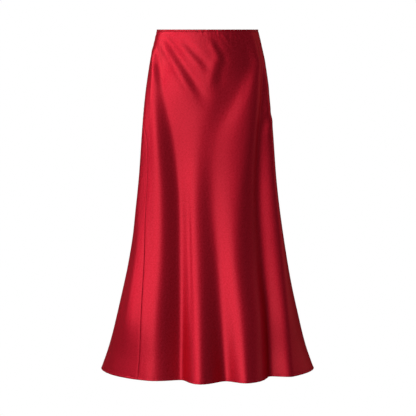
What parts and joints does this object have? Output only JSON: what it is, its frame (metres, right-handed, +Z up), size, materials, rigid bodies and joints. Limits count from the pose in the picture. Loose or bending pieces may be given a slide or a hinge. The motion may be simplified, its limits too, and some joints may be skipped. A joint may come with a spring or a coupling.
{
  "type": "slip skirt",
  "caption": "Long bias-cut satin slip skirt, filled out as worn, with a narrow elastic waist, a smooth hip and soft hanging folds down to a flared hem. Open at waist and hem.",
  "frame": {"origin": "centre of the waist opening, at half the height of the waist casing", "axes": "+Z up along the wearer, -Y towards the front, +X towards the wearer's left"},
  "size_m": [0.5375, 0.4747, 0.8526],
  "materials": {
    "satin": "satin",
    "casing": "satin"
  },
  "bodies": {
    "root": {"front_panel": "satin", "back_panel": "satin", "waist_casing": "casing"}
  },
  "joints": []
}
